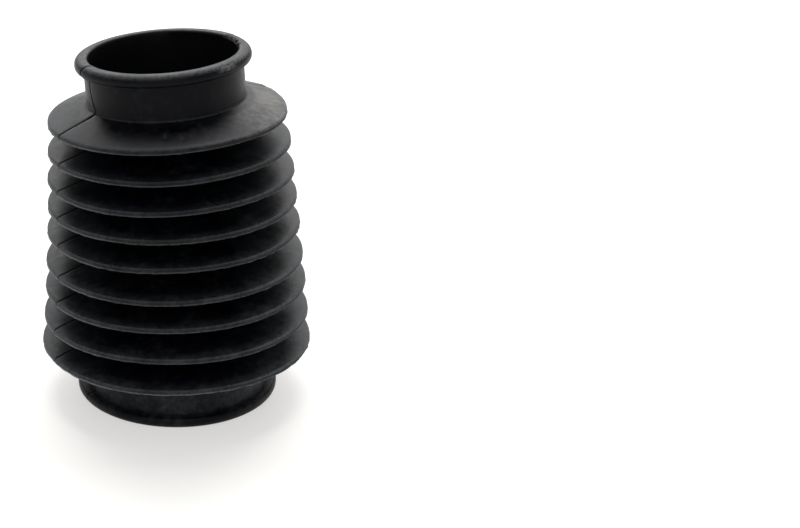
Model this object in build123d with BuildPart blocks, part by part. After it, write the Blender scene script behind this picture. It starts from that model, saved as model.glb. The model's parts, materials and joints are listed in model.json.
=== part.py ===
"""Bellows boot: a rubber sleeve of tapering folds between two beaded collars.

The boot is moulded in one piece, so it is one solid. It is soft, so it bows a little as it stands,
and its folds keep uneven spaces. Each collar and each fold is a ring turned from its own half
section. Each ring leans a little more than the one below it, and the two meet on the plane halfway
between their leans. The boot stands on its large collar, with +Z up from the centre of the face
that it stands on, which is the origin. All sizes are in millimetres, and all heights are along the
boot's axis.
"""
import os
from itertools import pairwise
from math import copysign, cos, degrees, hypot, radians, sin, tan

from build123d import *

# Folds, counted from the large collar up
fold_pitch = 9.86             # from crest to crest, as moulded
crest_lifts = [0, 0.55, 1.0, 0.45, 1.3, 0.8, 0.05, -0.1, 0]     # off that pitch, as it stands
large_crest_r = 45.0          # first fold
small_crest_r = 39.0          # last fold
crest_band = 1.5              # height of the narrow band round each crest
crest_bevel = 0.5             # along the band's upper edge, while its lower edge is sharp
fold_wall = 1.6               # rubber between the two sides of a fold's wall
root_land = 1.0               # height of the straight wall at the foot of each groove
root_stand = 0.5              # how far the roots stand in from a straight line between the bores

# Bow of the axis, which is upright at the foot
bow_radius = 1230.0
bow_direction = 157.5         # azimuth that the boot leans to, in degrees

# Large collar, which the boot stands on
large_bore_r = 28.5
large_collar_wall = 2.2
large_collar_length = 19.0    # from its end face to the first crest
large_bead_stand = 2.95       # how far the bead stands out from the collar
large_flange_angle = 24.0     # fall of the flange from the first crest to the collar, in degrees

# Small collar
small_bore_r = 24.3
small_collar_wall = 1.7
small_collar_length = 21.2
small_bead_stand = 2.75
small_flange_angle = 21.0

# Both collars
bead_height = 4.0
bead_end_round = 2.2          # at the end face
bead_back_round = 1.4         # towards the collar
flange_fillet = 1.5           # outside, where the flange runs into the collar
throat_round = 2.0            # inside, where the bore opens into the hollow of the flange
collar_run = 1.5              # straight wall between the flange's foot and the change of lean

fold_count = len(crest_lifts)
first_crest_z = large_collar_length
last_crest_z = first_crest_z + (fold_count - 1) * fold_pitch
boot_height = last_crest_z + small_collar_length
half_band = crest_band / 2
half_land = root_land / 2


def taper(large, small, z):
    """Radius at height z of a cone that has these two radii at the first and the last crest."""
    return large + (small - large) * (z - first_crest_z) / (last_crest_z - first_crest_z)


def inside_face(edge, foot):
    """Inside of the wall that runs in from a crest's edge to its foot: its height at r = 0 and slope."""
    slope = (foot[1] - edge[1]) / (edge[0] - foot[0])
    wall_height = copysign(fold_wall * hypot(1, slope), slope)
    return edge[1] + slope * edge[0] - wall_height, slope


def height_at(face, r):
    """Height of an inside face at radius r."""
    level, slope = face
    return level - slope * r


def meeting(lower, upper):
    """Corner where two inside faces meet."""
    r = (upper[0] - lower[0]) / (upper[1] - lower[1])
    return r, height_at(lower, r)


def turned(section, foot_cut, head_cut):
    """Ring turned from its section's corners and their rounds, and cut by the planes at its ends."""
    corners, rounds = zip(*section)
    with BuildPart() as ring:
        with BuildSketch(Plane.XZ):
            with BuildLine():
                FilletPolyline(*corners, radius=rounds, close=True)
            make_face()
        revolve(axis=Axis.Z)
        if foot_cut:
            split(bisect_by=foot_cut, keep=Keep.TOP)
        if head_cut:
            split(bisect_by=head_cut, keep=Keep.BOTTOM)
    return ring.part


# Crests, and the feet of the two flanges beside the collars
large_collar_r = large_bore_r + large_collar_wall
small_collar_r = small_bore_r + small_collar_wall
crest_heights = [first_crest_z + i * fold_pitch + lift for i, lift in enumerate(crest_lifts)]
crests = [(taper(large_crest_r, small_crest_r, z), z) for z in crest_heights]
large_fall = (large_crest_r - large_collar_r) * tan(radians(large_flange_angle))
small_rise = (small_crest_r - small_collar_r) * tan(radians(small_flange_angle))
large_foot_z = crest_heights[0] - half_band - large_fall
small_foot_z = crest_heights[-1] + half_band + small_rise

# Joints between the rings, one in each collar beside its flange and one in the middle of each root
root_heights = [(lower + upper) / 2 for lower, upper in pairwise(crest_heights)]
root_radii = [taper(large_bore_r, small_bore_r, z) - root_stand for z in root_heights]
joint_heights = [large_foot_z - collar_run, *root_heights, small_foot_z + collar_run]
inner_radii = [large_bore_r, *root_radii, small_bore_r]
outer_radii = [large_collar_r, *[r + fold_wall for r in root_radii], small_collar_r]

# Feet of each fold's two sides, and the rounds where the first and the last one meet a collar
feet_below = [large_foot_z, *[z + half_land for z in root_heights]]
feet_above = [*[z - half_land for z in root_heights], small_foot_z]
no_rounds = [0] * (fold_count - 1)
outer_rounds = [flange_fillet, *no_rounds, flange_fillet]
inner_rounds = [throat_round, *no_rounds, throat_round]

# Leans of the rings, and planes that cut them: each joint's, as the ring below and above sees it
ends = [0, *joint_heights, boot_height]
middles = [*crest_heights, (joint_heights[-1] + boot_height) / 2]
leans = [0, *[z / bow_radius for z in middles]]
half_steps = [(above - below) / 2 for below, above in pairwise(leans)]
head_cuts = [Plane((0, 0, z), z_dir=(sin(a), 0, cos(a))) for z, a in zip(joint_heights, half_steps)]
foot_cuts = [Plane((0, 0, z), z_dir=(-sin(a), 0, cos(a))) for z, a in zip(joint_heights, half_steps)]
spares = [2 * r * sin(a) for r, a in zip(outer_radii, half_steps)]     # so that the cuts reach all round

# Sections of the rings, from the large collar up
large_bead_r = large_collar_r + large_bead_stand
small_bead_r = small_collar_r + small_bead_stand
sections = [[
    ((large_bore_r, 0), 0),
    ((large_bead_r, 0), bead_end_round),
    ((large_bead_r, bead_height), bead_back_round),
    ((large_collar_r, bead_height), 0),
    ((large_collar_r, joint_heights[0] + spares[0]), 0),
    ((large_bore_r, joint_heights[0] + spares[0]), 0),
]]
for i, (r, z) in enumerate(crests):
    foot, head = joint_heights[i] - spares[i], joint_heights[i + 1] + spares[i + 1]
    outer_foot, outer_head = outer_radii[i:i + 2]
    inner_foot, inner_head = inner_radii[i:i + 2]
    lower_edge, upper_edge = (r, z - half_band), (r - crest_bevel, z + half_band)
    lower_face = inside_face(lower_edge, (outer_foot, feet_below[i]))
    upper_face = inside_face(upper_edge, (outer_head, feet_above[i]))
    sections.append([
        ((outer_foot, foot), 0),
        ((outer_foot, feet_below[i]), outer_rounds[i]),
        (lower_edge, 0),
        ((r, z + half_band - crest_bevel), 0),
        (upper_edge, 0),
        ((outer_head, feet_above[i]), outer_rounds[i + 1]),
        ((outer_head, head), 0),
        ((inner_head, head), 0),
        ((inner_head, height_at(upper_face, inner_head)), inner_rounds[i + 1]),
        (meeting(lower_face, upper_face), 0),
        ((inner_foot, height_at(lower_face, inner_foot)), inner_rounds[i]),
        ((inner_foot, foot), 0),
    ])
sections.append([
    ((small_collar_r, joint_heights[-1] - spares[-1]), 0),
    ((small_collar_r, boot_height - bead_height), 0),
    ((small_bead_r, boot_height - bead_height), bead_back_round),
    ((small_bead_r, boot_height), bead_end_round),
    ((small_bore_r, boot_height), 0),
    ((small_bore_r, joint_heights[-1] - spares[-1]), 0),
])

with BuildPart() as bellows_boot:
    reach = rise = 0              # of the axis, to the foot of the ring
    for section, lean, foot_cut, head_cut, (foot, head) in zip(
        sections, leans, [None, *foot_cuts], [*head_cuts, None], pairwise(ends)
    ):
        ring = turned(section, foot_cut, head_cut)
        turn = Location((0, 0, 0), (0, 0, bow_direction))
        seat = Location((reach, 0, rise), (0, degrees(lean), 0)) * Location((0, 0, -foot))
        with Locations(turn * seat):
            add(ring)
        reach += (head - foot) * sin(lean)
        rise += (head - foot) * cos(lean)

bellows_boot.part.label = "bellows_boot"
os.makedirs("parts", exist_ok=True)
export_step(bellows_boot.part, "parts/bellows_boot.step")
print("height", boot_height, "volume", bellows_boot.part.volume, "solids", len(bellows_boot.solids()))
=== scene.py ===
import json
from math import asin, atan2, copysign, cos, hypot, pi, radians, sin, tan

import bpy
import numpy as np
from mathutils import Matrix, Vector


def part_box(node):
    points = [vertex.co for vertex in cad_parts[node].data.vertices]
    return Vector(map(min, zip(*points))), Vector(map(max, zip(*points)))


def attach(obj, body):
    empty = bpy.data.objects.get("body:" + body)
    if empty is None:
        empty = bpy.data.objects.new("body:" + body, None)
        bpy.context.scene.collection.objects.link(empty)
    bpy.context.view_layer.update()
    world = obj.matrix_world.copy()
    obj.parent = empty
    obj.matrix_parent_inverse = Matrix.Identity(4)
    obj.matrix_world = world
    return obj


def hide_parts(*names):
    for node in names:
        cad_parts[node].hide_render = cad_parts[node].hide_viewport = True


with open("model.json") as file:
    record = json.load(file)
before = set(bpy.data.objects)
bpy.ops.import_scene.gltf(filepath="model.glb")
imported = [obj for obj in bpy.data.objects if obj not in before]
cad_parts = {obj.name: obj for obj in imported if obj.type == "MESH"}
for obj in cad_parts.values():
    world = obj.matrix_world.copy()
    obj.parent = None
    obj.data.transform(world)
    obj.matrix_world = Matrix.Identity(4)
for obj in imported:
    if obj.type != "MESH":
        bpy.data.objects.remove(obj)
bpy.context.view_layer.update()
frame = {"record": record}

# ---------------------------------------------------------------------------------------------
# The boot. A rubber sleeve moulded in one piece in a mould of two halves: a beaded collar at
# each end, a sloping flange beside each collar, and nine thin folds between them. It is soft, so
# it bows a little as it stands, and its folds don't keep quite even spaces.
mm = 0.001
mounts = {mount["name"]: mount for mount in frame["record"]["mounts"]}
large_bore_r, small_bore_r, large_collar_r, small_collar_r = [
    mounts[name]["dims"]["r_mm"] * mm
    for name in ("large_bore", "small_bore", "large_band_seat", "small_band_seat")
]
(low_x, _, foot_z), (high_x, _, _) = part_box("bellows_boot")
large_crest_r = (high_x - low_x) / 2

# The bow is an arc, upright at the foot, that passes through the middle of the head
small_grip = mounts["small_bore"]
grip_end = small_grip["dims"]["length_mm"] * mm / 2
head = Vector(small_grip["pos_m"]) + Vector(small_grip["axis"]) * grip_end
head_reach = hypot(head.x, head.y)
bow_radius = (head_reach**2 + head.z**2) / (2 * head_reach)
bow_direction = atan2(head.y, head.x)
boot_length = bow_radius * asin(head.z / bow_radius)

# The folds. In all that follows, s is the height along the bowed axis and r the radius round it
fold_pitch = 9.86 * mm
crest_lifts = [0, 0.55, 1.0, 0.45, 1.3, 0.8, 0.05, -0.1, 0]      # in mm, off that pitch
fold_count = len(crest_lifts)
first_crest_s = 19.0 * mm
last_crest_s = first_crest_s + (fold_count - 1) * fold_pitch
small_crest_r = 39.0 * mm
crest_band = 1.5 * mm          # height of the band round each crest
crest_shoulder = 0.7 * mm      # the band's upper edge is rounded, and its lower edge is sharp
lip_height = 0.12 * mm         # the sharp edge is a lip, with an undercut above it
undercut_top = 0.45 * mm
fold_wall = 1.6 * mm
root_land = 1.0 * mm           # straight wall at the foot of each groove
root_round = 0.4 * mm
root_stand = 0.5 * mm          # how far the roots stand in from a straight line between the bores
inner_round = 0.5 * mm

# The collars, their beads, and the flanges that run out from them to the first and last crest
large_flange_angle = 24.0
small_flange_angle = 21.0
large_foot_round = 1.5 * mm
small_foot_round = 1.0 * mm
throat_round = 2.0 * mm        # inside, where the bore opens into the hollow of the flange
bead_height = 4.0 * mm
large_bead_r = large_collar_r + 2.95 * mm
small_bead_r = small_collar_r + 2.75 * mm
bead_end_round = 2.2 * mm
bead_back_round = 1.4 * mm
bead_root_round = 0.2 * mm
foot_edge_round = 0.15 * mm
rim_round = 1.0 * mm


def taper(large, small, s):
    """Radius at s of a cone with these two radii at the first and the last crest."""
    return large + (small - large) * (s - first_crest_s) / (last_crest_s - first_crest_s)


def inside_face(edge, foot):
    """Inside of the wall that runs in from a crest's edge to its foot: height at r = 0, slope."""
    slope = (foot[1] - edge[1]) / (edge[0] - foot[0])
    return edge[1] + slope * edge[0] - copysign(fold_wall * hypot(1, slope), slope), slope


def height_at(face, r):
    """Height of an inside face at radius r."""
    return face[0] - face[1] * r


def meeting(lower, upper):
    """Corner where two inside faces meet."""
    r = (upper[0] - lower[0]) / (upper[1] - lower[1])
    return r, height_at(lower, r)


crest_s = [first_crest_s + i * fold_pitch + lift * mm for i, lift in enumerate(crest_lifts)]
crest_r = [taper(large_crest_r, small_crest_r, s) for s in crest_s]
half_band, half_land = crest_band / 2, root_land / 2
large_fall = (large_crest_r - large_collar_r) * tan(radians(large_flange_angle))
small_rise = (small_crest_r - small_collar_r) * tan(radians(small_flange_angle))
large_foot = large_collar_r, crest_s[0] - half_band - large_fall
small_foot = small_collar_r, crest_s[-1] + half_band + small_rise
root_s = [(lower + upper) / 2 for lower, upper in zip(crest_s, crest_s[1:])]
root_r = [taper(large_bore_r, small_bore_r, s) - root_stand for s in root_s]
feet_below = [large_foot, *[(r + fold_wall, s + half_land) for r, s in zip(root_r, root_s)]]
feet_above = [*[(r + fold_wall, s - half_land) for r, s in zip(root_r, root_s)], small_foot]
bore_below, bore_above = [large_bore_r, *root_r], [*root_r, small_bore_r]

# Corners of the section, first up the outside and then down the inside. Each has its place, its
# rounding, the steps round it, and the extra points on the straight after it
outline = [
    ((large_bore_r, foot_z), foot_edge_round, 2, 1),
    ((large_bead_r, foot_z), bead_end_round, 6, 0),
    ((large_bead_r, bead_height), bead_back_round, 4, 0),
    ((large_collar_r, bead_height), bead_root_round, 1, 2),
]
lips = []
for r, s, below, above in zip(crest_r, crest_s, feet_below, feet_above):
    first, last = below is large_foot, above is small_foot
    outline.append((below, large_foot_round if first else root_round, 4 if first else 2, 3))
    lips.append(len(outline))
    outline.append(((r, s - half_band), 0, 0, 0))
    outline.append(((r, s - half_band + lip_height), 0, 0, 0))
    outline.append(((r, s - half_band + undercut_top), 0, 0, 0))
    outline.append(((r, s + half_band), crest_shoulder, 5, 7 if last else 3))
    foot_round = small_foot_round if last else root_round
    outline.append((above, foot_round, 5 if last else 2, 7 if last else 0))
outline += [
    ((small_collar_r, boot_length - bead_height), bead_root_round, 1, 0),
    ((small_bead_r, boot_length - bead_height), bead_back_round, 4, 0),
    ((small_bead_r, boot_length), bead_end_round, 8, 2),
]
rim_corner = len(outline)
outline.append(((small_bore_r, boot_length), rim_round, 4, 3))
for i in reversed(range(fold_count)):
    lower_face = inside_face((crest_r[i], crest_s[i] - half_band), feet_below[i])
    upper_face = inside_face((crest_r[i], crest_s[i] + half_band), feet_above[i])
    first, last = i == 0, i == fold_count - 1
    above, below = height_at(upper_face, bore_above[i]), height_at(lower_face, bore_below[i])
    above_round, above_steps = (throat_round, 4) if last else (inner_round, 1)
    below_round, below_steps = (throat_round, 4) if first else (inner_round, 1)
    outline.append(((bore_above[i], above), above_round, above_steps, 1))
    outline.append((meeting(lower_face, upper_face), inner_round, 1, 1))
    outline.append(((bore_below[i], below), below_round, below_steps, 0))


def rounded(corners):
    """Closed line through the corners, each replaced by an arc of its radius, and the corner
    that each of its points belongs to."""
    places = [Vector(place) for place, *_ in corners]
    arcs = []
    for i, (_, radius, steps, _) in enumerate(corners):
        here = places[i]
        if not radius:
            arcs.append([here])
            continue
        back = (places[i - 1] - here).normalized()
        on = (places[(i + 1) % len(places)] - here).normalized()
        half = back.angle(on) / 2
        centre = here + (back + on).normalized() * radius / sin(half)
        start = here + back * radius / tan(half)
        turn = copysign(pi - 2 * half, back.y * on.x - back.x * on.y)
        arcs.append([centre + Matrix.Rotation(turn * k / steps, 2) @ (start - centre)
                     for k in range(steps + 1)])
    line, owners = [], []
    for i, (_, _, _, extra) in enumerate(corners):
        gap = arcs[(i + 1) % len(arcs)][0] - arcs[i][-1]
        added = arcs[i] + [arcs[i][-1] + gap * (k / (extra + 1)) for k in range(1, extra + 1)]
        line += added
        owners += [i] * len(added)
    return np.array(line), np.array(owners)


section, owners = rounded(outline)
section_r, section_s = section[:, 0], section[:, 1]
rows = len(section)

# Columns round the boot, by azimuth in degrees: even ones, closer ones where the rim is torn or
# scuffed or a flange is pitted, and closest beside the two parting lines of the mould's halves
left_seam, right_seam = 212.5, 398.0
torn, scuff_place = right_seam - 12, 323.0
pits = ((275.6, 33.0 * mm), (284.4, 33.6 * mm))      # azimuth, and radius on the flange
even_step, close_step, least_step = 1.7, 0.75, 0.15
beside_seam = np.array([-1.4, -0.8, -0.45, -0.2, 0.0, 0.2, 0.45, 0.8, 1.4])
beside_pit = np.array([-0.7, -0.3, 0.3, 0.7])
clear_of_seam = 2.0


def degrees_past(centre, angles):
    """How far past this azimuth each angle lies, from -180 to 180 degrees."""
    return (angles - centre + 180) % 360 - 180


azimuth = np.concatenate([
    np.arange(left_seam, left_seam + 360, even_step),
    np.arange(torn - 18, torn + 17.5, close_step),
    np.arange(scuff_place - 7, scuff_place + 7, close_step),
    np.ravel([pit + beside_pit for pit, _ in pits]),
])
for painted_shade_line in (left_seam, right_seam):
    azimuth = azimuth[abs(degrees_past(painted_shade_line, azimuth)) > clear_of_seam]
azimuth = np.concatenate([azimuth, left_seam + beside_seam, right_seam + beside_seam]) % 360
azimuth = np.unique(azimuth.round(4))
azimuth = azimuth[np.diff(azimuth, append=azimuth[0] + 360) > least_step]
columns = len(azimuth)


def window(centre, half):
    """1 at an azimuth, falling softly to 0 this many degrees to each side of it."""
    return np.clip(1 - (degrees_past(centre, azimuth) / half) ** 2, 0, 1)


def step(value, low, high):
    """0 below low, 1 above high, with a smooth step between."""
    t = np.clip((value - low) / (high - low), 0, 1)
    return t * t * (3 - 2 * t)


def spot(distance, reach):
    """1 where the distance is 0, falling off softly over this reach."""
    return np.exp(-(distance / reach) ** 2)


# The left parting line strays by a degree or two as it climbs, has a fine shake, and runs well
# out of line at the foot of the small collar
left_gap = degrees_past(left_seam, azimuth)
right_gap = degrees_past(right_seam, azimuth)
stray = 1.4 * np.sin(section_s / (6.5 * mm)) + 0.35 * np.sin(section_s / (0.9 * mm))
stray += 4.5 * spot(section_s - small_foot[1], 4 * mm)
stray_reach = 12.0      # degrees to each side that follow the line fully, and as much again partly
phi = azimuth + stray[:, None] * np.clip(2 - abs(left_gap) / stray_reach, 0, 1)

r = section_r[:, None] * np.ones(columns)
s = section_s[:, None] * np.ones(columns)
along = np.roll(section, -1, axis=0) - np.roll(section, 1, axis=0)
along /= np.linalg.norm(along, axis=1, keepdims=True)
chance = np.random.default_rng(11)


def waver(count, orders):
    """Soft closed waves round the boot, about 1 high, one row of them for each of count folds."""
    waves = np.zeros((count, columns))
    for order in orders:
        size, start = chance.normal(size=(count, 1)), chance.uniform(0, 2 * pi, (count, 1))
        waves += size * np.cos(order * np.radians(azimuth) + start)
    return waves / np.sqrt(len(orders) / 2)


# Which fold each row is nearest to, and how far out from the groove it lies: 1 at the crest
fold = np.searchsorted([(a + b) / 2 for a, b in zip(crest_s, crest_s[1:])], section_s)
fold_s, fold_r = np.array(crest_s)[fold], np.array(crest_r)[fold]
fold_feet = np.array([*root_r, small_bore_r])[fold] + fold_wall
out = np.clip((section_r - fold_feet) / (fold_r - fold_feet), 0, 1)

# The folds waver up and down and in and out, while the foot stays flat
rise_and_fall, in_and_out = 0.10 * mm, 0.06 * mm
sway = (out * step(section_s, bead_height, large_foot[1]))[:, None]
s += sway * (rise_and_fall * waver(fold_count, (2, 3, 4, 5)))[fold]
r += sway * (in_and_out * waver(fold_count, (2, 3, 4)))[fold]

# Flash: a thin uneven lip of rubber left along each crest's lower edge, deepest on the right
flash = 0.09 + 0.05 * waver(fold_count, range(6, 60, 5))
flash += 0.04 * chance.normal(size=(fold_count, columns))
flash = np.clip(flash, 0.0, 0.25) * mm
undercut_depth = (0.05 + 0.20 * window(10, 80)) * mm
for i, lip in enumerate(lips):
    r[owners == lip] += flash[i]
    s[owners == lip] -= 0.5 * flash[i]
    r[owners == lip + 1] -= undercut_depth

# Parts of the section: all the outside, the skin clear of the foot, the small collar and flange
outside = owners < rim_corner
on_skin = outside & (section_s > 0.3 * mm)
collar = on_skin & (section_s > small_foot[1] - 1 * mm) & (section_r < small_bead_r + 0.1 * mm)
flange = on_skin & (section_s > crest_s[-1]) & ~collar

# The parting lines are fine grooves, wider on the flange and collar, with a pit at the collar's
# foot and a ragged scar of flash on the flange's edge
groove_depth = on_skin * (0.16 + 0.12 * out + 0.14 * flange + 0.2 * collar)
groove_depth += 0.4 * collar * spot(section_s - small_foot[1], 1.2 * mm)
groove_half = (0.44 + 0.12 * flange + 0.12 * collar) * mm
left_way = abs(np.radians(left_gap)) * section_r[:, None]
right_way = abs(np.radians(right_gap)) * section_r[:, None]
left_groove = np.clip(1 - left_way / groove_half[:, None], 0, 1)
right_groove = np.clip(1 - right_way / groove_half[:, None], 0, 1)
swell = -groove_depth[:, None] * (left_groove + 0.5 * right_groove) * mm      # out from the skin
scar = 0.35 * mm
flange_edge = (flange * step(out, 0.8, 1))[:, None]
swell += flange_edge * scar * window(right_seam, 13) * chance.uniform(0.3, 1, columns)

# The rim is torn beside the right parting line, and a ledge of rubber was left at its back
rim = (owners == rim_corner) & (section_s > boot_length - 0.9 * mm)
tear, nicks, ledge, ledge_place = 1.0 * mm, 0.05 * mm, 0.45 * mm, 68
jag = window(torn, 19) * chance.uniform(0, 1, columns) ** 2 * tear
jag += nicks * chance.uniform(0, 1, columns)
r[rim] += jag
s[rim] -= 0.4 * jag
r[rim] -= ledge * window(ledge_place, 28) * chance.uniform(0.6, 1, columns)

# The small bead is scuffed in one place, and there are two small pits in the flange
scuff_depth, pit_depth, pit_reach = 0.35 * mm, 0.5 * mm, 0.6 * mm
upness = -along[:, 0]
# The small bead's upward faces, where dust and a painted highlight are put
bead_top = on_skin * (section_s > boot_length - 2.3 * mm) * step(upness, 0.35, 0.8)
bead_face = (owners == rim_corner - 1) & (abs(section_s - boot_length + 1.3 * mm) < 0.9 * mm)
scuff = window(scuff_place, 7) * chance.uniform(0, 1, (rows, columns)) ** 2 * bead_face[:, None]
pock = np.zeros((rows, columns))
for pit, pit_r in pits:
    round_gap = np.radians(degrees_past(pit, azimuth)) * section_r[:, None]
    pit_gap = np.hypot(round_gap, section_r[:, None] - pit_r)
    pock += spot(pit_gap, pit_reach) * flange[:, None]
swell -= scuff_depth * scuff + pit_depth * pock
r += swell * along[:, 1:]
s -= swell * along[:, :1]

# Bend it all along the bow
arc = s / bow_radius
bow_to = np.array([cos(bow_direction), sin(bow_direction), 0])
bow_side = np.array([-sin(bow_direction), cos(bow_direction), 0])
upright = np.array([0, 0, 1])
cos_arc, sin_arc = np.cos(arc)[..., None], np.sin(arc)[..., None]
axis = bow_radius * ((1 - cos_arc) * bow_to + sin_arc * upright)
across = cos_arc * bow_to - sin_arc * upright
turn = (np.radians(phi) - bow_direction)[..., None]
points = axis + r[..., None] * (np.cos(turn) * across + np.sin(turn) * bow_side)

# The front half of the mould was a little out of line with the back half
mould_slip, mould_drop, seam_width = 0.13, 0.07, 0.4
slip_way = radians(left_seam)
half_step = np.array([mould_slip * cos(slip_way), mould_slip * sin(slip_way), -mould_drop]) * mm
front = np.where(abs(left_gap) < 90, np.clip(0.5 + left_gap / seam_width, 0, 1),
                 np.clip(0.5 - right_gap / seam_width, 0, 1))
clear_of_foot = on_skin * step(section_s, 1 * mm, 8 * mm)
points += front[None, :, None] * half_step * clear_of_foot[:, None, None]

# What the finish needs to know about each point: how worn the edges are, and the painted
# highlights on the lips, shoulders and crease; where the outside lies; the painted shade in the
# parting lines and undercuts; the dust, with painted sheen and a painted floor reflection; the
# stain; dust and a painted highlight on the small bead's top; and how rubbed the bead and rim are
# Painted highlights: lips, shoulders and crease are painted paler, beside the lips' real wear
wear_and_highlight = outside * spot(np.hypot(section_r - fold_r, section_s - fold_s + half_band), 0.25 * mm)
crease_gap = np.hypot(section_r - small_foot[0] - 0.3 * mm, section_s - small_foot[1])
crease = on_skin * spot(crease_gap, 0.24 * mm)
shoulder_gap = np.hypot(section_r - fold_r + 0.25 * mm,
                        section_s - fold_s - half_band + 0.12 * mm)
shoulder = on_skin * spot(shoulder_gap, 0.3 * mm)
# Painted shade: the rows of each undercut above a lip are painted dark
undercut = 0.8 * np.isin(owners, np.array(lips) + 1) + 1.0 * np.isin(owners, np.array(lips) + 2)
# Dust, and a painted floor reflection: low down the boot is painted paler nearer the floor
low_dust_and_reflection = np.where(section_s < bead_height, 0.12, 0.7)
dust_and_floor_reflection = outside * np.where(section_s < large_foot[1], low_dust_and_reflection, out**6)
nearness_to_floor = step(boot_length - section_s, 0.1 * boot_length, boot_length)
lowest_fold = (fold == 0)[:, None]

# How much each side of the boot shows of it, by azimuth: wear and painted highlights on lips and
# shoulders, painted shade in the undercuts, dust with painted sheen, the stain, and the bead's
# dust and painted highlight
edge_wear_and_highlight = 0.27 + 0.3 * lowest_fold + 0.6 * window(206, 46) + 0.45 * window(345, 50)
shoulder_highlight = 0.1 + 0.16 * window(208, 60) + 0.22 * window(345, 60)
undercut_painted_shade = 0.15 + 0.85 * window(352, 62)
side_dust_and_sheen = window(8, 62) + 0.55 * window(192, 50)
stained_side = 0.85 * step(window(5, 56), 0.0, 1.0)
bead_highlight_by_side = 0.55 + 0.45 * window(8, 75)
finish_and_painted_light = {
    "wear_and_highlight": wear_and_highlight[:, None] * edge_wear_and_highlight + 0.12 * crease[:, None] + shoulder[:, None] * shoulder_highlight,
    "skin": (outside * (1 - 0.4 * collar))[:, None] * np.ones(columns),
    "painted_shade_line": on_skin[:, None] * np.clip(1.5 * left_groove + right_groove
                                       + undercut[:, None] * undercut_painted_shade, 0, 1),
    "dust_and_painted_light": (outside * (0.3 + 0.7 * out) * (1 + 0.35 * flange))[:, None] * side_dust_and_sheen
    + (dust_and_floor_reflection * (0.15 + 0.45 * nearness_to_floor))[:, None],
    "stain": flange[:, None] * stained_side,
    "bead_dust_and_highlight": bead_top[:, None] * bead_highlight_by_side,
    "scuff": window(scuff_place, 9) * bead_face[:, None] + 0.7 * window(torn, 18) * rim[:, None]
    + 0.45 * pock,
}

row, column = np.meshgrid(np.arange(rows), np.arange(columns), indexing="ij")
next_row, next_column = (row + 1) % rows, (column + 1) % columns
quads = np.stack([row * columns + column, row * columns + next_column,
                  next_row * columns + next_column, next_row * columns + column], axis=-1)
boot_mesh = bpy.data.meshes.new("boot")
boot_mesh.from_pydata(points.reshape(-1, 3).tolist(), [], quads.reshape(-1, 4).tolist())
boot_mesh.polygons.foreach_set("use_smooth", np.ones(len(boot_mesh.polygons), dtype=bool))
boot_mesh.set_sharp_from_angle(angle=radians(35))
boot_mesh.update()
for name, amount in finish_and_painted_light.items():
    boot_mesh.attributes.new(name, "FLOAT", "POINT").data.foreach_set("value", amount.ravel())
boot = bpy.data.objects.new("boot", boot_mesh)
bpy.context.collection.objects.link(boot)


class Value:
    """A number, colour or vector in a material, which sums and nodes can be made from."""

    def __init__(self, tree, socket=None):
        self.tree, self.socket = tree, socket

    def node(self, kind, settings=(), inputs=(), output=0):
        """Any node: its type, its settings, what its inputs are given, and the output to use."""
        made = self.tree.nodes.new("ShaderNode" + kind)
        for name, value in dict(settings).items():
            setattr(made, name, value)
        for name, value in dict(inputs).items():
            if isinstance(value, Value):
                self.tree.links.new(value.socket, made.inputs[name])
            else:
                made.inputs[name].default_value = value
        return Value(self.tree, made.outputs[output])

    def __add__(self, other):
        return self.node("Math", {"operation": "ADD"}, {0: self, 1: other})

    def __mul__(self, other):
        return self.node("Math", {"operation": "MULTIPLY"}, {0: self, 1: other})

    __radd__, __rmul__ = __add__, __mul__

    def above(self, low, high):
        """0 below low, 1 above high, with a smooth step between."""
        return self.node("MapRange", {"interpolation_type": "SMOOTHSTEP"},
                         {"Value": self, "From Min": low, "From Max": high})

    def noise(self, size, detail=3.0, roughness=0.5):
        """Uneven patches of about this size, from 0 to 1, at the places that this value gives."""
        return self.node("TexNoise", {}, {"Vector": self, "Scale": 1 / size, "Detail": detail,
                                          "Roughness": roughness})

    def blend(self, one, other):
        """One colour where this value is 0, and the other where it is 1."""
        return self.node("Mix", {"data_type": "RGBA"}, {"Factor": self, 6: one, 7: other}, 2)


# The rubber: black, with a paler black inside as painted light in the bore, a grey bloom in
# patches, dust with painted sheen and a painted floor reflection, a brown stain, bare paler rubber
# where edges are rubbed, painted highlights on the lips, shoulders, crease and the small bead's
# top, and painted shade in the parting lines and undercuts
rubber = bpy.data.materials.new("rubber")
rubber.use_nodes = True
shader = rubber.node_tree.nodes["Principled BSDF"]
shader.inputs["Specular IOR Level"].default_value = 0.08
maker = Value(rubber.node_tree)
place = maker.node("TexCoord", output="Object")
wear_and_highlight, on_outside, painted_shade_line, dust_and_painted_light, stain, bead_dust_and_highlight, rubbed = [
    maker.node("Attribute", {"attribute_name": name}, output="Fac") for name in finish_and_painted_light]
soft = place.noise(9 * mm)
mottle = place.noise(2.4 * mm, detail=5.0, roughness=0.6)
fine = place.noise(0.9 * mm, detail=4.0, roughness=0.65)
grain = place.noise(0.4 * mm, detail=2.0)
specks = place.noise(0.7 * mm, detail=1.0).above(0.7, 0.78)
bloomed = on_outside * soft.above(0.36, 0.72) * mottle.above(0.4, 0.68)
dust_and_sheen_mask = dust_and_painted_light * (soft * 0.35 + mottle * 0.4 + fine * 0.25).above(0.3, 0.7)
stained = stain * (soft * 0.25 + mottle * 0.5 + fine * 0.25).above(0.36, 0.66)

# Painted light: the inside is a paler black than the outside, as light in the bore
inside_black_painted_paler = (0.0040, 0.0042, 0.0052, 1)
black = (0.0010, 0.0013, 0.0026, 1)
# Painted shade for the parting-line grooves and the undercuts
painted_shade_black = (0.0005, 0.0005, 0.0006, 1)
bloom = (0.0125, 0.0135, 0.0155, 1)
# Dust and a painted highlight on the small bead's top
bead_dust_and_highlight_grey = (0.085, 0.088, 0.092, 1)
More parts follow.
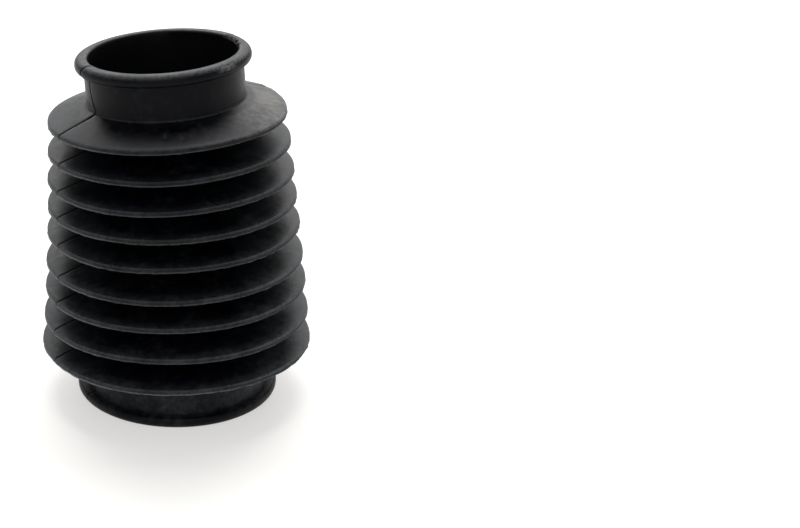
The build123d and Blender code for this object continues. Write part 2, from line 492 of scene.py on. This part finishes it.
# Grey dust, which also paints sheen at the sides and a floor reflection low down
grey_dust_and_sheen = (0.0535, 0.057, 0.0615, 1)
brown_dust = (0.150, 0.143, 0.131, 1)
# Bare rubber for worn edges, which also paints highlights on lips, shoulders and crease
bare_rubber_and_highlight = (0.235, 0.245, 0.26, 1)
pale_speck = (0.3, 0.3, 0.3, 1)
scuffed_grey = (0.2, 0.195, 0.19, 1)
# The inside is painted paler, as light in the bore, and the small collar takes some of it
colour = on_outside.blend(inside_black_painted_paler, black)
colour = bloomed.blend(colour, bloom)
# Dust and a painted highlight on the small bead's top
colour = (bead_dust_and_highlight * fine.above(0.2, 0.7)).blend(colour, bead_dust_and_highlight_grey)
# Dust, with painted sheen at the sides and a painted floor reflection low down
colour = dust_and_sheen_mask.blend(colour, grey_dust_and_sheen)
colour = stained.blend(colour, brown_dust)
# Bare paler rubber on worn edges, and painted highlights on lips, shoulders and crease
colour = (wear_and_highlight * fine.above(0.2, 0.55)).blend(colour, bare_rubber_and_highlight)
colour = (wear_and_highlight * specks).blend(colour, pale_speck)
colour = (rubbed * (grain * 0.4 + fine * 0.6).above(0.3, 0.75)).blend(colour, scuffed_grey)
colour = (rubbed * fine.above(0.56, 0.7) * 0.5).blend(colour, black)
# Painted shade in the parting-line grooves and the undercuts
colour = painted_shade_line.blend(colour, painted_shade_black)
rough = mottle * 0.34 + soft * 0.14 + dust_and_painted_light * 0.06 + bead_dust_and_highlight * 0.18 + fine * 0.26 + 0.02
relief = grain * 0.3 + mottle * 0.5 + fine * 0.3
bump = maker.node("Bump", {}, {"Height": relief, "Strength": 0.7, "Distance": 0.1 * mm})
links = rubber.node_tree.links
links.new(colour.socket, shader.inputs["Base Color"])
links.new(rough.socket, shader.inputs["Roughness"])
links.new(bump.socket, shader.inputs["Normal"])
boot_mesh.materials.append(rubber)
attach(boot, "root")
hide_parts("bellows_boot")

# ---------------------------------------------------------------------------------------------
# The floor: a broad round sheet of opal white plastic. It is lit from below, as a light table
# is, so it glows a little by itself and keeps the shadows pale.
floor_reach = 6.0
floor_z = foot_z - 0.02 * mm
bpy.ops.mesh.primitive_circle_add(vertices=64, radius=floor_reach, fill_type="NGON",
                                  location=(0, 0, floor_z))
floor = bpy.context.object
floor.name = "floor"
opal = bpy.data.materials.new("opal sheet")
opal.use_nodes = True
opal_shader = opal.node_tree.nodes["Principled BSDF"]
opal_shader.inputs["Base Color"].default_value = (0.48, 0.476, 0.465, 1)
opal_shader.inputs["Roughness"].default_value = 0.9
opal_shader.inputs["Emission Color"].default_value = (1, 0.99, 0.97, 1)
opal_shader.inputs["Emission Strength"].default_value = 0.54
floor.data.materials.append(opal)

# ---------------------------------------------------------------------------------------------
# The light: a pale room and three softboxes. The two broad ones stand behind the boot and, much
# weaker, in front of it, and the smaller, strongest one hangs high behind it.
world = bpy.data.worlds.new("room")
bpy.context.scene.world = world
world.use_nodes = True
room = world.node_tree.nodes["Background"]
room.inputs["Color"].default_value = (1, 1, 1, 1)
room.inputs["Strength"].default_value = 0.4
bpy.context.scene.view_settings.view_transform = "Standard"
aim = Vector((0, 0, 0.06))
box_distance = 1.5
broad, small = (1.6, 1.25), (1.0, 0.7)      # width and height of a softbox's face
softboxes = (                               # azimuth and elevation in degrees, glow, face
    ("back softbox", 96.0, 34.0, 3.5, broad),
    ("front softbox", -84.0, 30.0, 0.8, broad),
    ("top softbox", 96.0, 67.0, 9.5, small),
)
for name, box_azimuth, box_elevation, glow, face in softboxes:
    softbox = bpy.data.lights.new(name, "AREA")
    softbox.shape = "RECTANGLE"
    softbox.size, softbox.size_y = face
    softbox.energy = glow * pi * softbox.size * softbox.size_y
    lamp = bpy.data.objects.new(name, softbox)
    bpy.context.collection.objects.link(lamp)
    way_round, way_up = radians(box_azimuth), radians(box_elevation)
    toward_box = Vector((cos(way_round) * cos(way_up), sin(way_round) * cos(way_up), sin(way_up)))
    lamp.location = aim + toward_box * box_distance
    lamp.rotation_euler = toward_box.to_track_quat("Z", "Y").to_euler()
    lamp.visible_camera = False

# ---------------------------------------------------------------------------------------------
# The camera: a long lens on a stand, in front of the boot and well above it. It points past the
# boot's right side, so that the boot stands in the left part of the view.
camera_data = bpy.data.cameras.new("camera")
camera_data.sensor_width = 36.0
camera_data.lens = 101.25
camera = bpy.data.objects.new("camera", camera_data)
bpy.context.collection.objects.link(camera)
camera_fall, camera_roll = 0.417, 0.046      # in radians
camera.location = (0.07436, -0.68836, 0.35350)
tilt = Matrix.Rotation(pi / 2 - camera_fall, 3, "X") @ Matrix.Rotation(camera_roll, 3, "Z")
camera.rotation_euler = tilt.to_euler()
bpy.context.scene.camera = camera
